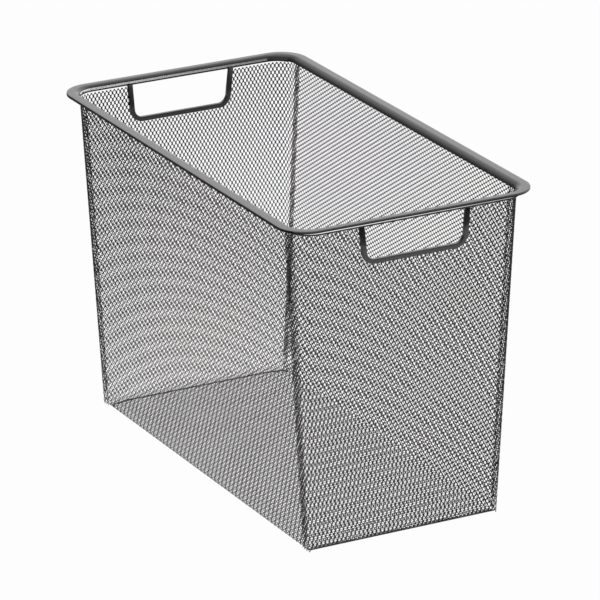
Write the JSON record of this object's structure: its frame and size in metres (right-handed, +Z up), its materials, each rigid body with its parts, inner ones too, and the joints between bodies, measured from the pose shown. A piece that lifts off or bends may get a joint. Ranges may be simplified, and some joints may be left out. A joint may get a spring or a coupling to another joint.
{
  "type": "drawer basket",
  "caption": "Tall narrow drawer basket of expanded steel mesh that widens upwards, with a crowned rim round its open top and a bound hand hole in each short end.",
  "frame": {"origin": "on the floor under the middle of the basket", "axes": "+Z up; +X across the basket to its right as the front end is faced; +Y along it, from the front end to the rear end"},
  "size_m": [0.2318, 0.436, 0.2898],
  "materials": {
    "mesh": "satin",
    "rim": "satin",
    "trim": "satin"
  },
  "bodies": {
    "root": {"base": "mesh", "wall_left": "mesh", "wall_right": "mesh", "end_front": "mesh", "end_rear": "mesh", "hem_front": "mesh", "hem_rear": "mesh", "corner_front_left": "mesh", "corner_front_right": "mesh", "corner_rear_left": "mesh", "corner_rear_right": "mesh", "trim_front": "trim", "trim_rear": "trim", "lip": "rim", "rim": "rim"}
  },
  "joints": []
}
